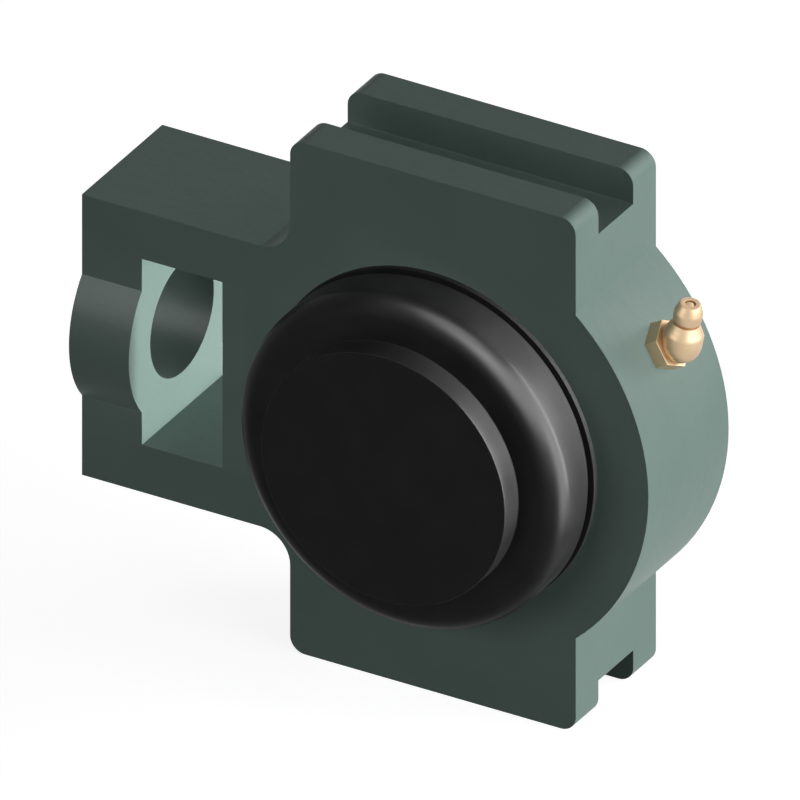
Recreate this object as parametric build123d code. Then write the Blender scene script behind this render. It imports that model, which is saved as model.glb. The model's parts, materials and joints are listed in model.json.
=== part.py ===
from build123d import *
import os
from math import cos, radians, sin, sqrt

# Take up bearing unit for a 30 mm shaft, in millimetres.
# The origin is the bearing centre. X runs along the guide rails, with the adjusting screw's
# eye at -X. Y is the shaft axis: the closed end cover is at -Y and the shaft comes in from +Y.
# Z is up, and the unit stands on the feet of its lower guide groove.

# Housing casting
block_length = 57.0
block_height = 102.0
housing_thickness = 27.75
block_corner_radius = 3.0
guide_groove_width = 12.0
guide_groove_depth = 6.5
hub_radius = 43.0
end_to_centre = 70.0
extension_height = 56.0
extension_fillet = 6.0
end_wall = 12.0
window_length = 16.0
window_height = 37.0
screw_boss_diameter = 36.8
screw_hole_diameter = 22.0

# Spherical seat in the housing, and the notches that let the insert in from the rear
seat_clearance = 0.04
seat_edge_step = 0.25
seat_edge_chamfer = 1.0
loading_slot_clearance = 0.3
grease_groove_width = 5.0
grease_groove_depth = 1.0
grease_groove_offset = 3.4

# Insert bearing
shaft_diameter = 30.0
sphere_diameter = 62.0
outer_ring_width = 19.0
outer_ring_wall = 3.22
ball_diameter = 9.525
ball_count = 9
ball_play = 0.02
raceway_conformity = 1.05
outer_raceway_depth = 1.75
inner_raceway_depth = 1.95
inner_ring_short_side = 15.9
inner_ring_long_side = 22.2
ring_chamfer = 0.8
grease_hole_diameter = 2.0

# Pressed cage in two halves
cage_sheet = 0.8
cage_band = 3.6
cage_pocket_play = 0.12
rivet_diameter = 1.2
rivet_head_diameter = 2.0
rivet_head_height = 0.35
rivet_play = 0.02

# Seals and flingers
seal_gap = 0.5
seal_sheet = 0.7
seal_rim_height = 1.6
seal_fit = 0.02
lip_band = 2.2
lip_clearance = 0.05
lip_height = 1.0
flinger_gap = 0.4
flinger_sheet = 0.8
flinger_collar_height = 1.6
flinger_rim_clearance = 0.6

# Set screws
screw_diameter = 6.0
screw_length = 5.5
screw_from_end = 5.0
screw_tip_gap = 0.15
screw_spread = 120.0
first_screw_angle = 120.0
screw_socket = 3.0
screw_socket_depth = 2.6
screw_cup_depth = 0.6
thread_play = 0.03

# Pin that keeps the outer ring from creeping round in its seat
pin_diameter = 3.0
pin_angle = 90.0
pin_play = 0.03
pin_floor_wall = 1.2
pin_stand_out = 1.4
pin_slot_side_play = 0.12
pin_slot_floor_gap = 0.5
swivel_limit = 2.0
pin_end_gap = 0.1

# End cover
cover_recess_step = 0.5
cover_recess_depth = 3.3
cover_bead_height = 0.5
cover_bead_width = 0.9
cover_bead_inset = 1.0
cover_fit = 0.05
cover_spigot_depth = 2.8
cover_flange_lip = 1.2
cover_flange_thickness = 1.0
cover_neck_depth = 1.65
cover_dome_radius = 32.5
cover_shoulder_radius = 4.0
cover_shoulder_height = 12.7
cover_centre_radius = 24.35
cover_centre_height = 17.3
cover_wall = 1.8

# Grease nipple
nipple_angle = 30.0
nipple_bend = 48.0
nipple_thread_diameter = 6.0
nipple_thread_length = 6.5
nipple_gap_under_hex = 0.4
nipple_hex = 8.0
nipple_hex_height = 2.75
nipple_elbow_rise = 2.0
nipple_ball_diameter = 7.2
nipple_ball_drop = 0.45
nipple_barrel_height = 1.7
nipple_barrel_top = 4.0
nipple_barrel_top_diameter = 4.8
nipple_passage = 1.2
grease_passage = 4.0
nipple_spigot_depth = 3.2
nipple_neck_diameter = 3.9
nipple_neck_length = 4.1
nipple_head_diameter = 5.1
nipple_undercut = 0.5
nipple_head_land = 1.7
nipple_tip_diameter = 3.7
nipple_tip_cone = 1.85
nipple_bore = 2.5
nipple_tip_hole = 1.9
nipple_tip_wall = 0.45
check_ball_diameter = 2.3
check_ball_play = 0.05
spring_wire = 0.3
spring_turns = 5

# How far each cut starts and ends outside the piece it is taken from
past = 2.0

# Radii and heights that follow from the sizes above
half_thickness = housing_thickness / 2
sphere_radius = sphere_diameter / 2
seat_radius = sphere_radius + seat_clearance
half_ring = outer_ring_width / 2
bore_radius = shaft_diameter / 2
ball_radius = ball_diameter / 2
race_radius = ball_radius * raceway_conformity
outer_race_bottom = sphere_radius - outer_ring_wall
pitch_radius = outer_race_bottom - ball_play - ball_radius
inner_race_bottom = pitch_radius - ball_radius - ball_play
outer_land_radius = outer_race_bottom - outer_raceway_depth
inner_land_radius = inner_race_bottom + inner_raceway_depth
pocket_radius = ball_radius + cage_pocket_play
cage_half_height = pocket_radius + cage_sheet
seal_start = cage_half_height + seal_gap
seal_recess_radius = (outer_land_radius + sphere_radius) / 2 - ring_chamfer
lip_outer_radius = inner_land_radius + lip_band
flinger_start = seal_start + seal_sheet + flinger_gap
pin_floor_radius = outer_race_bottom + pin_floor_wall
pin_top_radius = sphere_radius + pin_stand_out
pin_travel = pin_top_radius * sin(radians(swivel_limit))
recess_radius = sphere_radius + cover_recess_step
recess_floor = half_thickness - cover_recess_depth
bead_radius = recess_radius + cover_bead_height
flange_radius = recess_radius + cover_flange_lip
neck_radius = recess_radius - cover_fit
dome_start = cover_flange_thickness + cover_neck_depth
cover_inner_radius = neck_radius - cover_wall
head_top = nipple_neck_length + nipple_undercut + nipple_head_land + nipple_tip_cone


def turned(outline):
    """A solid turned about the shaft axis, from a profile with X as radius and Y along the axis."""
    return revolve(outline, Axis.Y, 360)


def ring_profile(inner, outer, low, high):
    """A rectangular profile of a ring between two radii and two heights along the shaft."""
    return Pos((inner + outer) / 2, (low + high) / 2) * Rectangle(outer - inner, high - low)


def radial_plane(angle, distance, along=0.0):
    """A plane square to the radius at an angle in the XZ plane, its normal pointing outwards."""
    direction = Vector(cos(radians(angle)), 0, sin(radians(angle)))
    return Plane(origin=direction * distance + Vector(0, along, 0), x_dir=(0, 1, 0), z_dir=direction)


def rod(radius, bottom, top):
    """A round bar about the local Z axis between two heights."""
    return Pos(0, 0, bottom) * Cylinder(radius, top - bottom, align=(Align.CENTER, Align.CENTER, Align.MIN))


def sphere_edge(radius, offset):
    """The radius at which a sphere about the origin is cut by a plane at an offset."""
    return sqrt(radius**2 - offset**2)


def mirrored(shape, side):
    """The shape itself for the rear side, or its mirror image for the front side."""
    return shape if side > 0 else mirror(shape, Plane.XZ)


def housing_outline():
    """The casting seen along the shaft: the guide block, the screw extension and the hub."""
    block = Rectangle(block_length, block_height)
    extension_length = end_to_centre - block_length / 2
    extension = Pos(-end_to_centre + extension_length / 2, 0) * Rectangle(extension_length, extension_height)
    outline = block + extension
    outer = outline.vertices().filter_by_position(Axis.Y, block_height / 2, block_height / 2)
    outer += outline.vertices().filter_by_position(Axis.Y, -block_height / 2, -block_height / 2)
    outline = fillet(outer, block_corner_radius)
    inner = outline.vertices().filter_by(
        lambda v: abs(v.X + block_length / 2) < 0.01 and abs(abs(v.Y) - extension_height / 2) < 0.01
    )
    outline = fillet(inner, extension_fillet)
    hub = Circle(hub_radius) & Pos(hub_radius / 2, 0) * Rectangle(hub_radius, 2 * hub_radius)
    return outline + hub


def seat_cavity():
    """What the boring bar takes out: cover recess, bead groove, spherical seat, rear bore and chamfer."""
    front, rear = half_thickness + past, half_thickness
    rear_radius = sphere_edge(seat_radius, half_ring) + seat_edge_step
    chamfer_radius = rear_radius + seat_edge_chamfer
    front_edge = (sphere_edge(seat_radius, recess_floor), -recess_floor)
    rear_edge = (sphere_edge(seat_radius, half_ring), half_ring)
    boundary = [
        Polyline((0, -front), (recess_radius, -front), (recess_radius, -recess_floor), front_edge),
        ThreePointArc(front_edge, (seat_radius, 0), rear_edge),
        Polyline(
            rear_edge,
            (rear_radius, half_ring),
            (rear_radius, rear - seat_edge_chamfer),
            (chamfer_radius, rear),
            (chamfer_radius, rear + past),
            (0, rear + past),
            (0, -front),
        ),
    ]
    cavity = turned(make_face(boundary))
    bead_low = -half_thickness + cover_bead_inset
    cavity += turned(ring_profile(cover_inner_radius, bead_radius, bead_low, bead_low + cover_bead_width))
    groove_low = -grease_groove_offset - grease_groove_width / 2
    groove = ring_profile(
        cover_inner_radius, seat_radius + grease_groove_depth, groove_low, groove_low + grease_groove_width
    )
    return cavity + turned(groove)


def loading_slots():
    """Two notches, above and below, that the insert is slid into edge-on before it is turned square."""
    radius = seat_radius + seat_clearance
    width = outer_ring_width + 2 * loading_slot_clearance
    disc = Rot(-90, 0, 0) * rod(radius, 0, half_thickness + past)
    return disc & Box(width, 4 * half_thickness, 4 * radius)


def pin_slot():
    """The keyway in the seat that the locking pin slides along as the bearing aligns itself."""
    width = pin_diameter + 2 * pin_slot_side_play
    front = -(pin_diameter / 2 + pin_travel + pin_slot_side_play)
    rear = half_thickness + past
    floor = pin_top_radius + pin_slot_floor_gap
    slot = Box(rear - front, width, floor - pin_floor_radius, align=(Align.MIN, Align.CENTER, Align.MIN))
    return radial_plane(pin_angle, pin_floor_radius, front) * slot


def housing():
    """The cast housing, with its guide grooves, its screw eye and nut window, and the bearing seat."""
    body = extrude(Plane.XZ * housing_outline(), half_thickness, both=True)
    eye_centre = -end_to_centre + end_wall / 2
    body += Pos(eye_centre, 0, 0) * Rot(0, 90, 0) * Cylinder(screw_boss_diameter / 2, end_wall)
    body -= Pos(eye_centre, 0, 0) * Rot(0, 90, 0) * Cylinder(screw_hole_diameter / 2, end_wall + past)
    window_centre = -end_to_centre + end_wall + window_length / 2
    body -= Pos(window_centre, 0, 0) * Box(window_length, screw_boss_diameter + past, window_height)
    groove = Box(block_length + past, guide_groove_width, 2 * guide_groove_depth)
    for side in (1, -1):
        body -= Pos(0, 0, side * block_height / 2) * groove
    body -= seat_cavity()
    body -= loading_slots()
    body -= pin_slot()
    port = radial_plane(nipple_angle, 0)
    thread_end = hub_radius - nipple_thread_length
    body -= port * rod(nipple_thread_diameter / 2 + thread_play, thread_end, hub_radius + past)
    return body - port * rod(grease_passage / 2, sphere_edge(seat_radius, half_ring), thread_end + past)


def outer_ring():
    """The outer ring with its spherical outside, raceway, seal recesses, grease holes and pin hole."""
    edge = sphere_edge(sphere_radius, half_ring)
    front_edge, rear_edge = (edge, -half_ring), (edge, half_ring)
    boundary = [
        ThreePointArc(front_edge, (sphere_radius, 0), rear_edge),
        Polyline(rear_edge, (outer_land_radius, half_ring), (outer_land_radius, -half_ring), front_edge),
    ]
    profile = make_face(boundary)
    profile -= Pos(outer_race_bottom - race_radius, 0) * Circle(race_radius)
    for side in (1, -1):
        low, high = sorted((side * seal_start, side * (half_ring + past)))
        profile -= ring_profile(outer_land_radius - past, seal_recess_radius, low, high)
    ring = turned(profile)
    grease_line = -(race_radius + seal_start) / 2
    for angle in (nipple_angle, nipple_angle + 180):
        hole = rod(grease_hole_diameter / 2, outer_land_radius - past, sphere_radius + past)
        ring -= radial_plane(angle, 0, grease_line) * hole
    pin_hole = rod(pin_diameter / 2 + pin_play, pin_floor_radius, sphere_radius + past)
    return ring - radial_plane(pin_angle, 0) * pin_hole


def inner_ring():
    """The inner ring, extended on both sides, with its raceway, chamfers and two set screw holes."""
    profile = ring_profile(bore_radius, inner_land_radius, -inner_ring_short_side, inner_ring_long_side)
    profile = chamfer(profile.vertices(), ring_chamfer)
    profile -= Pos(inner_race_bottom + race_radius, 0) * Circle(race_radius)
    ring = turned(profile)
    for plane in set_screw_planes():
        ring -= plane * rod(screw_diameter / 2 + thread_play, 0, inner_land_radius + past)
    return ring


def set_screw_planes():
    """One plane for each set screw, on the wide side of the inner ring."""
    along = inner_ring_long_side - screw_from_end
    return [radial_plane(first_screw_angle + k * screw_spread, 0, along) for k in range(2)]


def set_screw():
    """A cup point set screw with a hexagon socket, backed off just clear of the bore."""
    tip = bore_radius + screw_tip_gap
    head = tip + screw_length
    screw = rod(screw_diameter / 2, tip, head)
    screw = chamfer(screw.edges().filter_by(GeomType.CIRCLE), screw_cup_depth)
    socket_floor = head - screw_socket_depth
    hexagon = RegularPolygon(screw_socket / 2, 6, major_radius=False)
    screw -= extrude(Pos(0, 0, socket_floor) * hexagon, screw_socket_depth + past)
    cup_radius = screw_diameter / 2 - 2 * screw_cup_depth
    cup = Pos(0, 0, tip) * Cone(cup_radius, 0, cup_radius, align=(Align.CENTER, Align.CENTER, Align.MIN))
    return screw - cup


def ball_angles():
    """The angle of each ball, the first one on the locking pin's side."""
    return [pin_angle + k * 360 / ball_count for k in range(ball_count)]


def ball(angle):
    """One bearing ball at its angle on the pitch circle."""
    return radial_plane(angle, pitch_radius) * Sphere(ball_radius)


def cage_half(side):
    """One pressed half of the cage: flat webs between cups that follow the balls."""
    low, high = pitch_radius - cage_band / 2, pitch_radius + cage_band / 2
    web = turned(ring_profile(low, high, 0, cage_sheet))
    envelope = turned(ring_profile(low, high, 0, cage_half_height))
    for angle in ball_angles():
        web += (radial_plane(angle, pitch_radius) * Sphere(cage_half_height)) & envelope
    for angle in ball_angles():
        web -= radial_plane(angle, pitch_radius) * Sphere(pocket_radius)
    for plane in rivet_planes():
        web -= plane * rod(rivet_diameter / 2 + rivet_play, -past, past)
    return mirrored(web, side)


def rivet_planes():
    """One plane for each cage rivet, midway between two balls, its normal along the shaft."""
    planes = []
    for angle in ball_angles():
        middle = radial_plane(angle + 180 / ball_count, pitch_radius).origin
        planes.append(Plane(origin=middle, x_dir=(1, 0, 0), z_dir=(0, 1, 0)))
    return planes


def cage_rivets():
    """The rivets that hold the two cage halves together, as one group."""
    rivet = rod(rivet_diameter / 2, -cage_sheet - rivet_head_height, cage_sheet + rivet_head_height)
    rivet += rod(rivet_head_diameter / 2, cage_sheet, cage_sheet + rivet_head_height)
    rivet += rod(rivet_head_diameter / 2, -cage_sheet - rivet_head_height, -cage_sheet)
    return Compound(children=[plane * rivet for plane in rivet_planes()])


def seal_plate(side):
    """The pressed steel plate of a seal, seated in the outer ring's recess by its rim."""
    rim = seal_recess_radius - seal_fit
    profile = ring_profile(lip_outer_radius, rim, seal_start, seal_start + seal_sheet)
    profile += ring_profile(rim - seal_sheet, rim, seal_start, seal_start + seal_rim_height)
    return mirrored(turned(profile), side)


def seal_lip(side):
    """The rubber lip bonded to the inner edge of the seal plate, running on the inner ring."""
    tip = inner_land_radius + lip_clearance
    low, high = seal_start, seal_start + seal_sheet
    profile = make_face(
        Polyline(
            (lip_outer_radius, low),
            (lip_outer_radius, high),
            (tip + lip_height / 2, high),
            (tip, high - seal_sheet / 4),
            (tip, low),
            close=True,
        )
    )
    return mirrored(turned(profile), side)


def flinger(side):
    """The pressed steel flinger that turns with the inner ring and shields the seal."""
    rim = seal_recess_radius - seal_sheet - flinger_rim_clearance
    collar = inner_land_radius + flinger_sheet
    profile = ring_profile(inner_land_radius, rim, flinger_start, flinger_start + flinger_sheet)
    profile += ring_profile(inner_land_radius, collar, flinger_start, flinger_start + flinger_collar_height)
    return mirrored(turned(profile), side)


def locking_pin():
    """The pin that stands in the outer ring and reaches into the housing's pin slot."""
    pin = rod(pin_diameter / 2, pin_floor_radius + pin_end_gap, pin_top_radius)
    return radial_plane(pin_angle, 0) * chamfer(pin.edges().filter_by(GeomType.CIRCLE), pin_end_gap)


def end_cover():
    """The snap-in end cover: spigot with bead, flange, neck, domed shoulder and raised centre."""
    face = -half_thickness
    spigot_end = face + cover_spigot_depth
    bead_low = face + cover_bead_inset + cover_fit
    bead_high = bead_low + cover_bead_width - 2 * cover_fit
    shoulder_centre = cover_dome_radius - cover_shoulder_radius
    shoulder_start = face - cover_shoulder_height + cover_shoulder_radius
    top, shoulder_top = face - cover_centre_height, face - cover_shoulder_height
    slant = cover_shoulder_radius * sqrt(0.5)
    outside = [
        Polyline(
            (cover_inner_radius, spigot_end),
            (neck_radius, spigot_end),
            (neck_radius, bead_high),
            (bead_radius - cover_fit, bead_high),
            (bead_radius - cover_fit, bead_low),
            (neck_radius, bead_low),
            (neck_radius, face),
            (flange_radius, face),
            (flange_radius, face - cover_flange_thickness),
            (neck_radius, face - cover_flange_thickness),
            (neck_radius, face - dome_start),
            (cover_dome_radius, face - dome_start),
            (cover_dome_radius, shoulder_start),
        ),
        ThreePointArc(
            (cover_dome_radius, shoulder_start),
            (shoulder_centre + slant, shoulder_start - slant),
            (shoulder_centre, shoulder_top),
        ),
        Polyline(
            (shoulder_centre, shoulder_top),
            (cover_centre_radius, shoulder_top),
            (cover_centre_radius, top),
            (0, top),
        ),
    ]
    inner_radius = cover_shoulder_radius - cover_wall
    inner_slant = inner_radius * sqrt(0.5)
    inner_top, inner_shoulder_top = top + cover_wall, shoulder_top + cover_wall
    dome_inner = cover_dome_radius - cover_wall
    dome_floor = face - dome_start - cover_wall
    inside = [
        Polyline(
            (0, top),
            (0, inner_top),
            (cover_centre_radius - cover_wall, inner_top),
            (cover_centre_radius - cover_wall, inner_shoulder_top),
            (shoulder_centre, inner_shoulder_top),
        ),
        ThreePointArc(
            (shoulder_centre, inner_shoulder_top),
            (shoulder_centre + inner_slant, shoulder_start - inner_slant),
            (dome_inner, shoulder_start),
        ),
        Polyline(
            (dome_inner, shoulder_start),
            (dome_inner, dome_floor),
            (cover_inner_radius, dome_floor),
            (cover_inner_radius, spigot_end),
        ),
    ]
    return turned(make_face(outside + inside))


def nipple_planes():
    """The plane of the nipple's base on its port axis, and the plane of its head where the two axes meet."""
    base_radius = hub_radius + nipple_gap_under_hex
    base = radial_plane(nipple_angle, base_radius)
    elbow = radial_plane(nipple_angle, base_radius + nipple_hex_height + nipple_elbow_rise)
    lean = radians(nipple_angle + nipple_bend)
    head = Plane(origin=elbow.origin, x_dir=(0, 1, 0), z_dir=(cos(lean), 0, sin(lean)))
    return base, head


def nipple_elbow():
    """The nipple's lower part: thread stem, hexagon and round elbow with its grease passage and socket."""
    base, head = nipple_planes()
    stem_end = -nipple_gap_under_hex - nipple_thread_length
    hexagon = RegularPolygon(nipple_hex / 2, 6, major_radius=False, rotation=30)
    lower = extrude(hexagon, nipple_hex_height) + rod(nipple_thread_diameter / 2, stem_end, 0)
    ball = Pos(0, 0, -nipple_ball_drop) * Sphere(nipple_ball_diameter / 2)
    barrel = rod(nipple_ball_diameter / 2, -nipple_ball_drop, nipple_barrel_height)
    body = base * lower + head * (ball + barrel + nipple_barrel_cone())
    crossing = nipple_hex_height + nipple_elbow_rise
    body -= base * rod(nipple_passage / 2, stem_end - past, crossing)
    body -= head * rod(nipple_passage / 2, 0, nipple_ball_diameter)
    return body - head * rod(nipple_neck_diameter / 2, nipple_seat_height(), nipple_ball_diameter)


def nipple_barrel_cone():
    """The taper from the elbow's barrel up to the socket's rim."""
    height = nipple_barrel_top - nipple_barrel_height
    cone = Cone(nipple_ball_diameter / 2, nipple_barrel_top_diameter / 2, height)
    return Pos(0, 0, nipple_barrel_height + height / 2) * cone


def nipple_seat_height():
    """Height of the socket floor in the elbow, where the nipple's head is pressed home."""
    return nipple_barrel_top - nipple_spigot_depth


def nipple_head():
    """The nipple's upper part: spigot, neck, undercut head, cone and the bore for ball and spring."""
    _, head = nipple_planes()
    bottom = nipple_seat_height()
    neck, wide, tip = nipple_neck_diameter / 2, nipple_head_diameter / 2, nipple_tip_diameter / 2
    land_low = nipple_neck_length + nipple_undercut
    land_high = land_low + nipple_head_land
    bore_top = head_top - nipple_tip_wall
    profile = make_face(
        Polyline(
            (nipple_bore / 2, bottom),
            (neck, bottom),
            (neck, nipple_neck_length),
            (wide, land_low),
            (wide, land_high),
            (tip, head_top),
            (nipple_tip_hole / 2, head_top),
            (nipple_tip_hole / 2, bore_top),
            (nipple_bore / 2, bore_top),
            close=True,
        )
    )
    return head * (Rot(90, 0, 0) * turned(profile))


def check_ball_height():
    """Height of the check ball's centre when it closes the tip hole."""
    hole, radius = nipple_tip_hole / 2, check_ball_diameter / 2
    return head_top - nipple_tip_wall - sqrt(radius**2 - hole**2) - check_ball_play


def check_ball():
    """The ball that closes the nipple's tip until the grease gun pushes it in."""
    _, head = nipple_planes()
    return head * Pos(0, 0, check_ball_height()) * Sphere(check_ball_diameter / 2)


def nipple_spring():
    """The coil spring under the check ball, standing on the elbow's socket floor."""
    _, head = nipple_planes()
    bottom = nipple_seat_height() + spring_wire / 2 + check_ball_play
    top = check_ball_height() - check_ball_diameter / 2 - spring_wire / 2 - check_ball_play
    coil_radius = nipple_bore / 2 - spring_wire / 2 - check_ball_play
    coil = Helix((top - bottom) / spring_turns, top - bottom, coil_radius)
    section = Plane(origin=coil @ 0, z_dir=coil % 0) * Circle(spring_wire / 2)
    return head * Pos(0, 0, bottom) * sweep(section, path=coil, is_frenet=True)


def sub_parts():
    """Every separate piece of the unit by name."""
    parts = {
        "housing": housing(),
        "end_cover": end_cover(),
        "outer_ring": outer_ring(),
        "inner_ring": inner_ring(),
        "locking_pin": locking_pin(),
        "cage_front": cage_half(-1),
        "cage_rear": cage_half(1),
        "cage_rivets": cage_rivets(),
        "nipple_elbow": nipple_elbow(),
        "nipple_head": nipple_head(),
        "nipple_check_ball": check_ball(),
        "nipple_spring": nipple_spring(),
    }
    for number, angle in enumerate(ball_angles(), start=1):
        parts[f"ball_{number}"] = ball(angle)
    for number, plane in enumerate(set_screw_planes(), start=1):
        parts[f"set_screw_{number}"] = plane * set_screw()
    for name, side in (("front", -1), ("rear", 1)):
        parts[f"seal_plate_{name}"] = seal_plate(side)
        parts[f"seal_lip_{name}"] = seal_lip(side)
        parts[f"flinger_{name}"] = flinger(side)
    return parts


os.makedirs("parts", exist_ok=True)
for node, shape in sub_parts().items():
    export_step(shape, f"parts/{node}.step")
    print(node, len(shape.solids()), round(shape.volume, 1))
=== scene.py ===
# %% [markdown]
# # A take up bearing unit, dressed and lit
#
# The unit is a painted iron casting with a self-aligning ball bearing in it. It slides between two guide
# rails, and a screw in the eye at its left end pulls a conveyor's belt tight. Its engineering model is
# already there, and fixes where every piece is. This file gives those pieces their finishes, models again
# the ones whose edges and rounds need a finer mesh, and sets up a small studio round them.

# %% Load the engineering model
import json
from math import cos, pi, radians, sin

import bmesh
import bpy
from mathutils import Matrix, Vector


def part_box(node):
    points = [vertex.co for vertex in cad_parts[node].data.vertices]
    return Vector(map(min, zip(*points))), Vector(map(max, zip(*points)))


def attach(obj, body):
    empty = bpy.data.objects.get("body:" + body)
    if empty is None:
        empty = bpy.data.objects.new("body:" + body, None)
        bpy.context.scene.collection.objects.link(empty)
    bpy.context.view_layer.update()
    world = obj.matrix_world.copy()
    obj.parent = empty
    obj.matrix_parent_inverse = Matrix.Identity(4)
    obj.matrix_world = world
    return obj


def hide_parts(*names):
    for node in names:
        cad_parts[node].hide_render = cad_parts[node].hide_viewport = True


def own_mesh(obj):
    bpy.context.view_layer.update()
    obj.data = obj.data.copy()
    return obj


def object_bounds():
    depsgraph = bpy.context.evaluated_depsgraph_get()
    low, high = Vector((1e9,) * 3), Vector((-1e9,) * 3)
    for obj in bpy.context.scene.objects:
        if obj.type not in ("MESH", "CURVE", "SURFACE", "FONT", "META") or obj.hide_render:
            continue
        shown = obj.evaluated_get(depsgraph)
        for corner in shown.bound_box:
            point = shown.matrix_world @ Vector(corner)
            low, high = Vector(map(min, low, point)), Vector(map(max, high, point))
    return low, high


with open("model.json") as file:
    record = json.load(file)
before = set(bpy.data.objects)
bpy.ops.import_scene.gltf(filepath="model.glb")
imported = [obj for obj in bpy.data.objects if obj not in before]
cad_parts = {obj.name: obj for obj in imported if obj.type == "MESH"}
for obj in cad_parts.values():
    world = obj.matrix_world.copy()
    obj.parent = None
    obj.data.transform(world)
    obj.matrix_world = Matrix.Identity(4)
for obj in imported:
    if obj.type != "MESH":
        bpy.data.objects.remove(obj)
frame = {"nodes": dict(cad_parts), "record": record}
model_low, model_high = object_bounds()
MM = 0.001
print("pieces in the engineering model:", len(frame["nodes"]))
print("its size in mm:", [round(side / MM, 1) for side in model_high - model_low])

# %% [markdown]
# ## The camera
#
# The unit is seen in parallel projection, from its right and from above, so that its upright edges stay
# upright and parallel edges stay parallel. An orthographic camera does that. Its scale is the width of the
# picture in metres, and only its direction matters, not how far away it stands. Two more numbers say how far
# right of the origin, and how far above it, the middle of the picture lies.

# %% Place the camera
VIEW_AZIMUTH = radians(30)
VIEW_ELEVATION = radians(30)
PICTURE_WIDTH = 138.15 * MM
VIEW_RIGHT = -12.61 * MM
VIEW_UP = 0.18 * MM
CAMERA_DISTANCE = 0.6

backwards = Vector((
    sin(VIEW_AZIMUTH) * cos(VIEW_ELEVATION),
    -cos(VIEW_AZIMUTH) * cos(VIEW_ELEVATION),
    sin(VIEW_ELEVATION),
))
turn = backwards.to_track_quat("Z", "Y")
camera_data = bpy.data.cameras.new("camera")
camera_data.type = "ORTHO"
camera_data.ortho_scale = PICTURE_WIDTH
camera = bpy.data.objects.new("camera", camera_data)
bpy.context.scene.collection.objects.link(camera)
camera.rotation_mode = "QUATERNION"
camera.rotation_quaternion = turn
camera.location = turn @ Vector((VIEW_RIGHT, VIEW_UP, CAMERA_DISTANCE))
bpy.context.scene.camera = camera
bpy.context.scene.view_settings.view_transform = "Standard"
print("camera looks along", [round(-part, 3) for part in backwards])

# %% [markdown]
# ## Materials from nodes
#
# Every finish on the unit is a small tree of shader nodes that ends in one Principled shader. A few helpers
# keep the trees short to write. One adds a node and sets its inputs, and another starts a material and gives
# back its tree, its shader and the Object coordinates, which stay fixed to the piece and are measured in
# metres. A noise pattern on those coordinates needs no picture and no unwrapping, and fits any shape without
# a seam.


# %% Helpers for node trees
def add_node(tree, kind, settings=None, **inputs):
    """A new shader node. settings are its own properties. An input is a value or another node's output, and
    goes by its name, with _ for a space, or by its number, as _0."""
    node = tree.nodes.new("ShaderNode" + kind)
    for name, value in (settings or {}).items():
        setattr(node, name, value)
    for name, value in inputs.items():
        socket = node.inputs[int(name[1:])] if name[1:].isdigit() else node.inputs[name.replace("_", " ")]
        if isinstance(value, bpy.types.NodeSocket):
            tree.links.new(value, socket)
        else:
            socket.default_value = value
    return node


def start_material(name):
    """A new material: its tree, its Principled shader and the Object coordinates."""
    material = bpy.data.materials.new(name)
    material.use_nodes = True
    tree = material.node_tree
    shader = tree.nodes["Principled BSDF"]
    place = add_node(tree, "TexCoord").outputs["Object"]
    return material, tree, shader, place


# %% Helpers for patterns
NOISE_LOW, NOISE_HIGH = 0.3, 0.7


def grain(tree, place, per_metre, detail=3.0, roughness=0.5):
    """Fractal noise with so many cells to the metre, as a factor about 0.5."""
    noise = add_node(tree, "TexNoise", Vector=place, Scale=per_metre, Detail=detail, Roughness=roughness)
    return noise.outputs["Fac"]


def between(tree, factor, low, high):
    """A number that goes from low to high as the noise factor goes over its usual range."""
    ends = {"From_Min": NOISE_LOW, "From_Max": NOISE_HIGH, "To_Min": low, "To_Max": high}
    return add_node(tree, "MapRange", Value=factor, **ends).outputs["Result"]


def two_tones(tree, factor, first, second):
    """A colour between two tones."""
    mix = add_node(tree, "Mix", {"data_type": "RGBA"}, Factor=factor)
    mix.inputs["A"].default_value = (*first, 1)
    mix.inputs["B"].default_value = (*second, 1)
    return mix.outputs["Result"]


def emboss(tree, height, depth, strength=1.0, under=None):
    """A bump from a height pattern of that depth in metres, on top of another bump if one is given."""
    bump = add_node(tree, "Bump", Height=height, Distance=depth, Strength=strength)
    if under is not None:
        tree.links.new(under, bump.inputs["Normal"])
    return bump.outputs["Normal"]


# %% [markdown]
# ## Enamel on cast iron
#
# The housing is brushed or sprayed with a dark grey-green machine enamel. Under the paint the sand mould has
# left a soft unevenness of a few millimetres, and the paint itself dries with a fine orange peel. Both are
# noise patterns used as bump, because they are too shallow to be worth any faces, and a third, much wider
# noise shifts the tone and the gloss a little, because a coat of paint is never of one thickness.

# %% Housing enamel
ENAMEL_TONES = ((0.129, 0.185, 0.166), (0.142, 0.200, 0.180))
ENAMEL_GLOSS = (0.38, 0.46)
ENAMEL_SHINE = 0.06
COAT_PER_METRE, PEEL_PER_METRE, SAND_PER_METRE = 55, 900, 260
PEEL_DEPTH, SAND_DEPTH = 0.03 * MM, 0.16 * MM
PAINTED_OVER = 0.5

enamel, tree, shader, place = start_material("grey_green_enamel")
coat = grain(tree, place, COAT_PER_METRE, detail=2)
peel = grain(tree, place, PEEL_PER_METRE, detail=2)
sand = grain(tree, place, SAND_PER_METRE, detail=4, roughness=0.6)
tree.links.new(two_tones(tree, between(tree, coat, 0, 1), *ENAMEL_TONES), shader.inputs["Base Color"])
tree.links.new(between(tree, coat, *ENAMEL_GLOSS), shader.inputs["Roughness"])
bump = emboss(tree, sand, SAND_DEPTH, PAINTED_OVER)
bump = emboss(tree, peel, PEEL_DEPTH, PAINTED_OVER, bump)
tree.links.new(bump, shader.inputs["Normal"])
shader.inputs["Specular IOR Level"].default_value = ENAMEL_SHINE
print("made", enamel.name)

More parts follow.
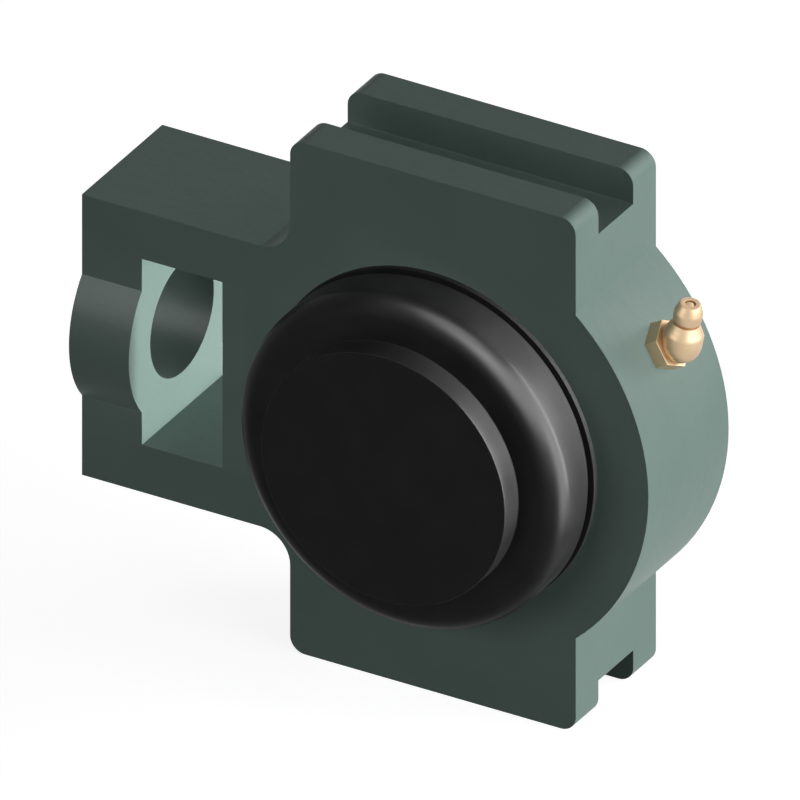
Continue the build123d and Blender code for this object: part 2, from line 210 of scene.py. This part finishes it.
# %% [markdown]
# ## Bare metals
#
# Inside the housing, the seat for the bearing is bored on a lathe and left bare iron. The bearing's rings are
# ground, its balls polished, its cage pressed from strip, its seal plates and flingers from plated sheet. The
# set screws are blackened, and the nipple's spring is drawn wire.
#
# A tool leaves fine rings round the axis that the piece turned about, so the pattern depends on the place
# along that axis far more than on the place round it: a Mapping node stretches the noise by giving the other
# two directions almost no weight. One recipe serves all these metals, which differ in tone, in gloss and in
# how close and how deep the marks are.

# %% Bare metals with tool marks
CLOUD_PER_METRE = 220
ROUND_PER_METRE = 40
MARKED = 0.5


def toolmarked_metal(name, colours, gloss, marks_per_metre, along, depth, turn=(0, 0, 0)):
    """A bare metal with marks that repeat along one axis of the piece and run evenly round it."""
    material, tree, shader, place = start_material(name)
    turned = add_node(tree, "Mapping", {"vector_type": "TEXTURE"}, Vector=place, Rotation=turn)
    weights = [marks_per_metre if axis == along else ROUND_PER_METRE for axis in range(3)]
    squeezed = add_node(tree, "Mapping", Vector=turned.outputs[0], Scale=weights)
    marks = grain(tree, squeezed.outputs[0], 1, detail=3, roughness=0.6)
    cloud = grain(tree, place, CLOUD_PER_METRE, detail=3)
    tree.links.new(two_tones(tree, between(tree, cloud, 0, 1), *colours), shader.inputs["Base Color"])
    tree.links.new(between(tree, marks, *gloss), shader.inputs["Roughness"])
    tree.links.new(emboss(tree, marks, depth, MARKED), shader.inputs["Normal"])
    shader.inputs["Metallic"].default_value = 1
    print("made", name)
    return material


# %% Iron, steels and sheet
# The axes that the marks repeat along: Y lies along the shaft and Z is upright.
SHAFT, UPRIGHT = 1, 2

bored_iron = toolmarked_metal(
    "bored_iron", ((0.30, 0.29, 0.28), (0.40, 0.39, 0.37)),
    gloss=(0.32, 0.5), marks_per_metre=4000, along=SHAFT, depth=0.01 * MM,
)
ground_steel = toolmarked_metal(
    "ground_bearing_steel", ((0.40, 0.40, 0.40), (0.48, 0.48, 0.475)),
    gloss=(0.28, 0.42), marks_per_metre=9000, along=SHAFT, depth=0.004 * MM,
)
plated_sheet = toolmarked_metal(
    "zinc_plated_sheet", ((0.36, 0.37, 0.37), (0.46, 0.455, 0.43)),
    gloss=(0.36, 0.5), marks_per_metre=1500, along=SHAFT, depth=0.004 * MM,
)
cage_strip = toolmarked_metal(
    "pressed_steel_strip", ((0.42, 0.40, 0.36), (0.54, 0.52, 0.48)),
    gloss=(0.3, 0.5), marks_per_metre=600, along=SHAFT, depth=0.006 * MM,
)
polished_ball = toolmarked_metal(
    "polished_ball_steel", ((0.70, 0.70, 0.71), (0.76, 0.76, 0.77)),
    gloss=(0.08, 0.14), marks_per_metre=400, along=SHAFT, depth=0.001 * MM,
)
blackened_steel = toolmarked_metal(
    "blackened_steel", ((0.05, 0.05, 0.055), (0.11, 0.105, 0.10)),
    gloss=(0.3, 0.45), marks_per_metre=3000, along=SHAFT, depth=0.006 * MM,
)
drawn_wire = toolmarked_metal(
    "drawn_spring_wire", ((0.42, 0.42, 0.42), (0.55, 0.55, 0.54)),
    gloss=(0.25, 0.4), marks_per_metre=3000, along=UPRIGHT, depth=0.004 * MM,
)

# %% [markdown]
# ## Turned brass
#
# The grease nipple is turned from bar, so its marks run round its own axis, which leans 12 degrees from
# upright. The same recipe serves, with the pattern turned to that axis first.

# %% Nipple brass
NIPPLE_ANGLE = radians(30)
NIPPLE_BEND = radians(48)

head_lean = pi / 2 - NIPPLE_ANGLE - NIPPLE_BEND
turned_brass = toolmarked_metal(
    "turned_brass", ((0.54, 0.39, 0.245), (0.625, 0.47, 0.305)),
    gloss=(0.42, 0.54), marks_per_metre=5000, along=UPRIGHT, depth=0.006 * MM, turn=(0, head_lean, 0),
)

# %% [markdown]
# ## Black plastic and rubber
#
# The end cover is moulded in black plastic from a polished mould. What gives such a surface away is a very
# fine waviness in its gloss, so it gets a shallow noise for bump and a wider one for roughness. The rubber
# of the seal lips is duller and coarser.

# %% Moulded black
WAVE_PER_METRE = 130
MOULDED = 0.4


def moulded_black(name, tones, gloss, pores_per_metre, depth, shine):
    """A black moulded surface with its waviness."""
    material, tree, shader, place = start_material(name)
    wave = grain(tree, place, WAVE_PER_METRE, detail=2)
    pores = grain(tree, place, pores_per_metre, detail=3)
    tree.links.new(two_tones(tree, between(tree, wave, 0, 1), *tones), shader.inputs["Base Color"])
    tree.links.new(between(tree, wave, *gloss), shader.inputs["Roughness"])
    tree.links.new(emboss(tree, pores, depth, MOULDED), shader.inputs["Normal"])
    shader.inputs["Specular IOR Level"].default_value = shine
    print("made", name)
    return material


cover_plastic = moulded_black(
    "black_cover_plastic", ((0.008, 0.008, 0.008), (0.010, 0.010, 0.010)),
    gloss=(0.34, 0.39), pores_per_metre=1500, depth=0.004 * MM, shine=0.045,
)
seal_rubber = moulded_black(
    "seal_rubber", ((0.012, 0.012, 0.012), (0.022, 0.021, 0.020)),
    gloss=(0.6, 0.75), pores_per_metre=2500, depth=0.01 * MM, shine=0.3,
)

# %% [markdown]
# ## Giving a finish to the pieces that keep their shape
#
# The balls, the cage and its rivets, the seal lips and the locking pin have the right shape already. They
# keep it, and only get a finish. The table says which finish goes with which of the model's own material
# names, and the pieces that are modelled again further down take theirs from it too.

# %% Dress the engineering pieces
FINISHES = {
    "housing_paint": enamel,
    "cover_plastic": cover_plastic,
    "bearing_steel": ground_steel,
    "ball_steel": polished_ball,
    "cage_steel": cage_strip,
    "plate_steel": plated_sheet,
    "pin_steel": ground_steel,
    "screw_steel": blackened_steel,
    "spring_steel": drawn_wire,
    "seal_rubber": seal_rubber,
    "nipple_brass": turned_brass,
}
slot_of = {part["node"]: part["material_slot"] for part in frame["record"]["subparts"]}
body_of = {node: body for body, nodes in frame["record"]["behaviour"]["bodies"].items() for node in nodes}
for node, thing in frame["nodes"].items():
    thing.material_slots[0].material = FINISHES[slot_of[node]]
print("dressed", len(frame["nodes"]), "pieces in", len(set(slot_of.values())), "finishes")

# %% [markdown]
# ## Softening the edges of a piece
#
# No real edge is perfectly sharp: paint rounds it, a file breaks it, a mould or die has a radius. That
# narrow round is what catches the light and tells the eye how big a thing is. The engineering mesh is made
# of loose triangles, so a copy is merged, its flat faces are joined up again, and then its sharp edges are
# bevelled. A Bevel modifier would do the last step too, but the operator can be told which edges to leave
# alone. The copy stands for the piece, which stays hidden underneath.

# %% Helper that keeps a finished mesh
SHADED_SHARP = radians(38)


def keep_piece(name, bm, node, materials=None):
    """Makes an object of the finished mesh. It stands for the engineering piece and moves with its body."""
    bmesh.ops.recalc_face_normals(bm, faces=bm.faces)
    mesh = bpy.data.meshes.new(name)
    for face in bm.faces:
        face.smooth = True
    for edge in bm.edges:
        edge.smooth = not edge.is_manifold or edge.calc_face_angle() < SHADED_SHARP
    bm.to_mesh(mesh)
    bm.free()
    piece = bpy.data.objects.new(name, mesh)
    bpy.context.scene.collection.objects.link(piece)
    for material in materials or [FINISHES[slot_of[node]]]:
        mesh.materials.append(material)
    shading = piece.modifiers.new("even_shading", "WEIGHTED_NORMAL")
    shading.keep_sharp = True
    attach(piece, body_of[node])
    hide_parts(node)
    print(name, "has", len(mesh.polygons), "faces")
    return piece


# %% Helpers that soften a copy
SAME_POINT = 0.001 * MM
FLAT = radians(0.3)
SHARP = radians(30)
EDGE_SEGMENTS = 3


def merged_copy(node):
    """A copy of an engineering piece's mesh, with its triangles merged and its flat faces whole."""
    bm = bmesh.new()
    bm.from_mesh(frame["nodes"][node].data)
    bmesh.ops.remove_doubles(bm, verts=bm.verts, dist=SAME_POINT)
    bmesh.ops.dissolve_limit(bm, angle_limit=FLAT, verts=bm.verts, edges=bm.edges)
    return bm


def soften(bm, radius, wanted=lambda edge: True):
    """Rounds the sharp edges that are wanted, and says how many there were."""
    sharp = [edge for edge in bm.edges if edge.is_manifold and edge.calc_face_angle() > SHARP]
    chosen = [edge for edge in sharp if wanted(edge)]
    bmesh.ops.bevel(
        bm, geom=chosen, offset=radius, segments=EDGE_SEGMENTS, profile=0.5, affect="EDGES",
        clamp_overlap=True, material=-1,
    )
    return len(chosen)


# %% [markdown]
# ## The housing
#
# The casting keeps its shape, with its outer edges rounded by a quarter of a millimetre, about what a coat
# of enamel leaves on a filed edge. Inside the seat the edges are left as the tool cut them, and the bored
# faces there are bare iron instead of enamel. How far a point lies from the shaft axis tells the two apart.

# %% Housing casting
CASTING_EDGE = 0.25 * MM
SEAT_REACH = 32.6 * MM


def from_shaft(point):
    """How far a point is from the shaft axis."""
    return (point.x**2 + point.z**2) ** 0.5


def outside_the_seat(edge):
    """Whether an edge lies clear of the bored seat."""
    return min(from_shaft(vert.co) for vert in edge.verts) > SEAT_REACH


ENAMELLED, BORED = 0, 1

housing_bm = merged_copy("housing")
softened = soften(housing_bm, CASTING_EDGE, outside_the_seat)
for face in housing_bm.faces:
    farthest = max(from_shaft(vert.co) for vert in face.verts)
    face.material_index = BORED if farthest < SEAT_REACH else ENAMELLED
casting = keep_piece("housing_casting", housing_bm, "housing", [enamel, bored_iron])
print("softened", softened, "edges of the casting")

# %% [markdown]
# ## Turning a profile
#
# The cover and the nipple's head are solids of revolution. Half of the section is drawn as one face, its
# corners are rounded while it is still flat, and then only its outline is spun round the axis. Rounding first
# is cheaper than bevelling the finished ring, and each corner can have its own radius. A Screw modifier could
# turn the outline too, but the operator leaves a whole mesh, which can be placed at once.

# %% Helpers for a drawn section
ROUND_STEP = 0.15
FEWEST_SEGMENTS, MOST_SEGMENTS = 2, 14


def bevel_corners(bm, corners, radius):
    """Rounds corners of a flat section, in steps that suit the radius in mm."""
    segments = min(max(FEWEST_SEGMENTS, round(radius / ROUND_STEP)), MOST_SEGMENTS)
    bmesh.ops.bevel(
        bm, geom=corners, offset=radius * MM, segments=segments, profile=0.5, affect="VERTICES",
        clamp_overlap=True, material=-1,
    )


def drawn_section(outline, rounds, usual):
    """The outline of half a section, as (radius, height) points in mm. rounds gives some corners' radii."""
    bm = bmesh.new()
    corners = [bm.verts.new((radius * MM, 0, height * MM)) for radius, height in outline]
    bm.faces.new(corners)
    for radius, numbers in rounds.items():
        bevel_corners(bm, [corners[number] for number in numbers], radius)
    special = {number for numbers in rounds.values() for number in numbers}
    rest = [corner for number, corner in enumerate(corners) if number not in special]
    bevel_corners(bm, [corner for corner in rest if corner.co.x > SAME_POINT], usual)
    bmesh.ops.delete(bm, geom=bm.faces[:], context="FACES_ONLY")
    on_axis = [edge for edge in bm.edges if all(vert.co.x < SAME_POINT for vert in edge.verts)]
    bmesh.ops.delete(bm, geom=on_axis, context="EDGES")
    return bm


# %% Helper for turned pieces
TURN_STEPS = 192


def turned(outline, rounds, usual, matrix, steps=TURN_STEPS):
    """A closed solid of revolution about Z, then placed by a matrix."""
    bm = drawn_section(outline, rounds, usual)
    bmesh.ops.spin(
        bm, geom=bm.verts[:] + bm.edges[:], cent=(0, 0, 0), axis=(0, 0, 1), angle=2 * pi, steps=steps,
        use_merge=True,
    )
    bmesh.ops.remove_doubles(bm, verts=bm.verts, dist=SAME_POINT / 10)
    bmesh.ops.transform(bm, matrix=matrix, verts=bm.verts)
    return bm


# %% [markdown]
# ## The end cover
#
# The cover is one thin-walled moulding. A spigot with a bead snaps into the housing, a flange stops it, and
# the dome has a wide rounded shoulder and a raised centre. Everything is measured in mm from the housing's
# front face, outwards along the shaft, and the spin axis is turned to point out of the housing that way.

# %% End cover's sizes
COVER_WALL = 1.8
SPIGOT_END = -2.8
BEAD_LOW, BEAD_HIGH = -1.85, -1.05
COVER_NECK = 31.45
BEAD_RADIUS = 31.95
FLANGE_RADIUS = 32.7
FLANGE_TOP = 1.0
DOME_START = 2.65
DOME_RADIUS = 32.5
SHOULDER_ROUND = 4.0
SHOULDER_TOP = 12.7
CENTRE_RADIUS = 24.35
CENTRE_TOP = 17.3
MOULDED_EDGE = 0.3
SNAP_EDGE = 0.12
print("the cover's dome is", 2 * DOME_RADIUS, "mm across and", CENTRE_TOP, "mm high")

# %% End cover
spigot_inside = COVER_NECK - COVER_WALL
cover_outline = [
    (0, CENTRE_TOP),
    (CENTRE_RADIUS, CENTRE_TOP),
    (CENTRE_RADIUS, SHOULDER_TOP),
    (DOME_RADIUS, SHOULDER_TOP),
    (DOME_RADIUS, DOME_START),
    (COVER_NECK, DOME_START),
    (COVER_NECK, FLANGE_TOP),
    (FLANGE_RADIUS, FLANGE_TOP),
    (FLANGE_RADIUS, 0),
    (COVER_NECK, 0),
    (COVER_NECK, BEAD_HIGH),
    (BEAD_RADIUS, BEAD_HIGH),
    (BEAD_RADIUS, BEAD_LOW),
    (COVER_NECK, BEAD_LOW),
    (COVER_NECK, SPIGOT_END),
    (spigot_inside, SPIGOT_END),
    (spigot_inside, DOME_START + COVER_WALL),
    (DOME_RADIUS - COVER_WALL, DOME_START + COVER_WALL),
    (DOME_RADIUS - COVER_WALL, SHOULDER_TOP - COVER_WALL),
    (CENTRE_RADIUS - COVER_WALL, SHOULDER_TOP - COVER_WALL),
    (CENTRE_RADIUS - COVER_WALL, CENTRE_TOP - COVER_WALL),
    (0, CENTRE_TOP - COVER_WALL),
]
shoulder = cover_outline.index((DOME_RADIUS, SHOULDER_TOP))
shoulder_inside = cover_outline.index((DOME_RADIUS - COVER_WALL, SHOULDER_TOP - COVER_WALL))
flange_start = cover_outline.index((COVER_NECK, FLANGE_TOP))
bead_end = cover_outline.index((COVER_NECK, BEAD_LOW))
cover_rounds = {
    SHOULDER_ROUND: [shoulder],
    SHOULDER_ROUND - COVER_WALL: [shoulder_inside],
    SNAP_EDGE: list(range(flange_start, bead_end + 1)),
}
front_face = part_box("end_cover")[0].y + CENTRE_TOP * MM
out_of_front = Matrix.Translation((0, front_face, 0)) @ Matrix.Rotation(pi / 2, 4, "X")
cover_bm = turned(cover_outline, cover_rounds, MOULDED_EDGE, out_of_front)
cover = keep_piece("cover_moulding", cover_bm, "end_cover")

# %% [markdown]
# ## The grease nipple
#
# Its lower part is a hexagon, with a thread below it and a rounded elbow above, which ends in a short cone
# under the neck. It keeps its shape and only gets the hexagon's edges broken. Its upper part is turned again
# with fine rounds: neck, undercut, land and cone, with the hole for the ball at the tip. Sizes are in mm,
# along the port that the nipple is screwed into, and then along the head.

# %% Nipple body
PORT_RADIUS = 43.0
HEX_START = 0.4
HEX_HEIGHT = 2.75
ELBOW_RISE = 2.0
HEX_INSIDE = 3.9 * MM
BRASS_EDGE = 0.08

port = Vector((cos(NIPPLE_ANGLE), 0, sin(NIPPLE_ANGLE)))
hex_top = (PORT_RADIUS + HEX_START + HEX_HEIGHT) * MM


def on_hexagon(edge):
    """Whether an edge is the hexagon's: well off the port's axis, and no higher than the hexagon's top."""
    return all(
        vert.co.dot(port) < hex_top + SAME_POINT and (vert.co - port * vert.co.dot(port)).length > HEX_INSIDE
        for vert in edge.verts
    )


nipple_bm = merged_copy("nipple_elbow")
softened = soften(nipple_bm, BRASS_EDGE * MM, on_hexagon)
keep_piece("nipple_body", nipple_bm, "nipple_elbow")
print("softened", softened, "edges of the hexagon")

# %% Nipple head
BORE_RADIUS = 1.25
NECK_RADIUS = 1.95
LAND_RADIUS = 2.55
TIP_RADIUS = 1.85
TIP_HOLE_RADIUS = 0.95
SEAT = 0.8
NECK_TOP = 4.1
LAND_LOW, LAND_HIGH = 4.6, 6.3
TIP_TOP = 8.15
TIP_FLOOR = 7.7
HEAD_ROUND = 0.2
HEAD_STEPS = 96

head_outline = [
    (BORE_RADIUS, SEAT),
    (NECK_RADIUS, SEAT),
    (NECK_RADIUS, NECK_TOP),
    (LAND_RADIUS, LAND_LOW),
    (LAND_RADIUS, LAND_HIGH),
    (TIP_RADIUS, TIP_TOP),
    (TIP_HOLE_RADIUS, TIP_TOP),
    (TIP_HOLE_RADIUS, TIP_FLOOR),
    (BORE_RADIUS, TIP_FLOOR),
]
land_low = head_outline.index((LAND_RADIUS, LAND_LOW))
tip = head_outline.index((TIP_RADIUS, TIP_TOP))
head_rounds = {HEAD_ROUND: list(range(land_low, tip + 1))}
crossing = port * (PORT_RADIUS + HEX_START + HEX_HEIGHT + ELBOW_RISE) * MM
on_elbow = Matrix.Translation(crossing) @ Matrix.Rotation(head_lean, 4, "Y")
tip_bm = turned(head_outline, head_rounds, BRASS_EDGE, on_elbow, HEAD_STEPS)
nipple_tip = keep_piece("nipple_tip", tip_bm, "nipple_head")

# %% [markdown]
# ## The spring under the check ball
#
# A grease gun pushes the small ball in the tip inwards, and a coil spring brings it back, getting shorter
# by just as much as the ball travels. Here the spring keeps its shape: it rides with its body and gets a
# mesh of its own.

# %% Nipple spring
spring = keep_piece("check_ball_spring", merged_copy("nipple_spring"), "nipple_spring")
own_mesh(spring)

# %% [markdown]
# ## The bearing's rings, plates and set screws
#
# The rings are ground, and their corners have a fine broken edge beside the chamfer, as the set screws' ends
# have. The flingers and seal plates are pressed from sheet, whose corners always come out round. All of them
# are softened in the same way, so a loop does it. Each row of its table names the new piece, the engineering
# piece that it stands for, and the radius of its edges in mm.

# %% Rings, plates and set screws
for name, node, radius in (
    ("outer_race", "outer_ring", 0.06),
    ("inner_race", "inner_ring", 0.08),
    ("rear_flinger", "flinger_rear", 0.25),
    ("front_flinger", "flinger_front", 0.25),
    ("rear_seal_plate", "seal_plate_rear", 0.2),
    ("front_seal_plate", "seal_plate_front", 0.2),
    ("upper_set_screw", "set_screw_1", 0.08),
    ("lower_set_screw", "set_screw_2", 0.08),
):
    ring_bm = merged_copy(node)
    soften(ring_bm, radius * MM)
    keep_piece(name, ring_bm, node)

# %% [markdown]
# ## The floor
#
# A product photograph of a part like this has no visible room. The floor is one large pale sheet, and a
# Light Path node makes it white for the camera and in reflections, while it returns only a modest light to
# the underside of the unit. It still takes the shadow.

# %% Floor sheet
FLOOR_SIZE = 6.0

floor_bm = bmesh.new()
bmesh.ops.create_grid(floor_bm, x_segments=1, y_segments=1, size=FLOOR_SIZE / 2)
bmesh.ops.translate(floor_bm, verts=floor_bm.verts, vec=(0, 0, model_low.z))
floor_mesh = bpy.data.meshes.new("floor")
floor_bm.to_mesh(floor_mesh)
floor_bm.free()
floor = bpy.data.objects.new("floor", floor_mesh)
bpy.context.scene.collection.objects.link(floor)
print("the floor lies at", round(model_low.z / MM, 1), "mm")


# %% Floor paper
def camera_or_mirror(tree):
    """One where the camera looks, directly, in a mirror or through glass, and nought for the light given."""
    seen = add_node(tree, "LightPath")
    rays = [seen.outputs[f"Is {kind} Ray"] for kind in ("Camera", "Glossy", "Transmission")]
    either = add_node(tree, "Math", {"operation": "MAXIMUM"}, _0=rays[0], _1=rays[1])
    return add_node(tree, "Math", {"operation": "MAXIMUM"}, _0=either.outputs[0], _1=rays[2]).outputs[0]


def grey(level):
    """A neutral colour of that level."""
    return (level, level, level, 1)


SHADOW_SHARE, WHITE_SHARE, RETURNED_SHARE = 0.45, 0.86, 0.08

floor_paper = bpy.data.materials.new("pale_paper")
floor_paper.use_nodes = True
tree = floor_paper.node_tree
tree.nodes.remove(tree.nodes["Principled BSDF"])
shadow_part = add_node(tree, "BsdfDiffuse", Color=grey(SHADOW_SHARE))
white_part = add_node(tree, "Emission", Color=grey(WHITE_SHARE), Strength=1.0)
shown = add_node(tree, "AddShader", _0=shadow_part.outputs[0], _1=white_part.outputs[0])
returned = add_node(tree, "BsdfDiffuse", Color=grey(RETURNED_SHARE))
choice = add_node(tree, "MixShader", _0=camera_or_mirror(tree), _1=returned.outputs[0], _2=shown.outputs[0])
tree.links.new(choice.outputs[0], tree.nodes["Material Output"].inputs["Surface"])
floor_mesh.materials.append(floor_paper)
print("made", floor_paper.name)

# %% [markdown]
# ## Lamps for colour and lamps for shine
#
# The colours come from a large softbox at the right, a weaker one in front of the unit and one behind it,
# so that the right faces are the light ones. The casting has a right softbox of its own, smaller and a
# little lower, and only the floor may shade it, so that its light reaches into the nut window.
#
# Black plastic has no colour to show. Its form is read from its highlights alone, and they are as wide as
# the lamps that they mirror. Four large lamps, which give no diffuse light, draw the cover's broad soft band,
# its side walls and its top, and two more do that for the casting's round hub and screw eye. Light linking
# keeps each on its own piece. It also says what may shade a lamp, because a mirrored lamp may well stand
# behind the casting or under the floor. That list can't be empty, so it holds only the nipple's small tip,
# whose shadow is too small to be seen.


# %% Helpers for lamps
def softbox(name, azimuth, elevation, distance, width, height, power):
    """A rectangular lamp that shines at the unit. Azimuth 0 stands at +X and 90 at +Y, in degrees."""
    data = bpy.data.lights.new(name, "AREA")
    data.shape = "RECTANGLE"
    data.size = width
    data.size_y = height
    data.energy = power
    lamp = bpy.data.objects.new(name, data)
    bpy.context.scene.collection.objects.link(lamp)
    swing = Matrix.Rotation(radians(azimuth), 3, "Z") @ Matrix.Rotation(-radians(elevation), 3, "Y")
    aim = swing @ Vector((1, 0, 0))
    lamp.location = aim * distance
    lamp.rotation_mode = "QUATERNION"
    lamp.rotation_quaternion = aim.to_track_quat("Z", "Y")
    print(name, "gives", power, "W")
    return lamp


def link_lamp(lamp, role, things, state="INCLUDE"):
    """Says which things a lamp lights (receiver) or is shaded by (blocker), or all but which."""
    group = bpy.data.collections.new(f"{lamp.name}_{role}")
    for thing in things:
        group.objects.link(thing)
    for member in group.collection_objects:
        member.light_linking.link_state = state
    setattr(lamp.light_linking, role + "_collection", group)


# %% Lamps for colour
small_parts_light = softbox(
    "right_softbox", azimuth=8, elevation=15, distance=1.2, width=1.8, height=0.9, power=19
)
link_lamp(small_parts_light, "receiver", [casting], "EXCLUDE")
casting_light = softbox(
    "casting_softbox", azimuth=8, elevation=9, distance=1.2, width=1.0, height=0.27, power=19
)
link_lamp(casting_light, "receiver", [casting])
link_lamp(casting_light, "blocker", [floor])
softbox("rear_right_softbox", azimuth=63, elevation=10, distance=1.2, width=1.4, height=0.9, power=5)
softbox("front_softbox", azimuth=-112, elevation=16, distance=1.5, width=0.9, height=0.9, power=4)

# %% Lamps for shine
SHEEN_DISTANCE = 1.2

for piece, name, azimuth, elevation, width, height, power in (
    (casting, "eye_sheen", -116, 32, 1.0, 0.9, 46),
    (casting, "hub_sheen", 66, 18, 0.9, 0.8, 15),
    (cover, "shoulder_sheen", -30, 31, 2.1, 1.08, 320),
    (cover, "side_sheen", 1, -10, 0.66, 1.1, 105),
    (cover, "wall_sheen", 53, 8, 1.2, 1.4, 420),
    (cover, "top_sheen", -72, 62, 0.9, 1.0, 115),
):
    lamp = softbox(name, azimuth, elevation, SHEEN_DISTANCE, width, height, power)
    lamp.visible_diffuse = False
    link_lamp(lamp, "receiver", [piece])
    link_lamp(lamp, "blocker", [nipple_tip])

# %% [markdown]
# ## A lamp at the nut window
#
# The wall of the nut window that the screw passes through is one of the lightest faces to be seen, though
# little of a studio's light gets in there. A photographer would hold a small lamp or a white card close to
# it. Here a lamp with a narrow beam stands in the casting's own iron, right of the window, and shines
# straight across at that wall. Nothing sees it there, and the iron isn't on the list of what may shade it.
# The window lies left of the shaft, so the lamp's distance along +X comes out negative.

# %% Light in the nut window
NARROW_BEAM = radians(15)
LAMP_IN_IRON = 5 * MM
WINDOW_LAMP_WIDTH, WINDOW_LAMP_HEIGHT = 33 * MM, 37 * MM
WINDOW_LAMP_POWER = 0.0042

openings = {opening["name"]: opening["box_m"] for opening in frame["record"]["physics"]["openings"]}
window_right = Vector(openings["nut_window"][1]).x
window_light = softbox(
    "window_softbox", azimuth=0, elevation=0, distance=window_right + LAMP_IN_IRON,
    width=WINDOW_LAMP_WIDTH, height=WINDOW_LAMP_HEIGHT, power=WINDOW_LAMP_POWER,
)
window_light.data.spread = NARROW_BEAM
window_light.visible_camera = False
window_light.visible_glossy = False
link_lamp(window_light, "receiver", [casting])
link_lamp(window_light, "blocker", [nipple_tip])

# %% [markdown]
# ## Light from all round
#
# The world is white to the camera and in mirrors, as the floor is, and gives only a little light from all
# round, so that no face is quite black.

# %% World
WORLD_LIGHT = 0.05

world = bpy.data.worlds.new("studio")
bpy.context.scene.world = world
world.use_nodes = True
tree = world.node_tree
level = add_node(tree, "MixRGB", _0=camera_or_mirror(tree), _1=grey(WORLD_LIGHT), _2=grey(1))
tree.links.new(level.outputs[0], tree.nodes["Background"].inputs["Color"])
print("made", world.name)
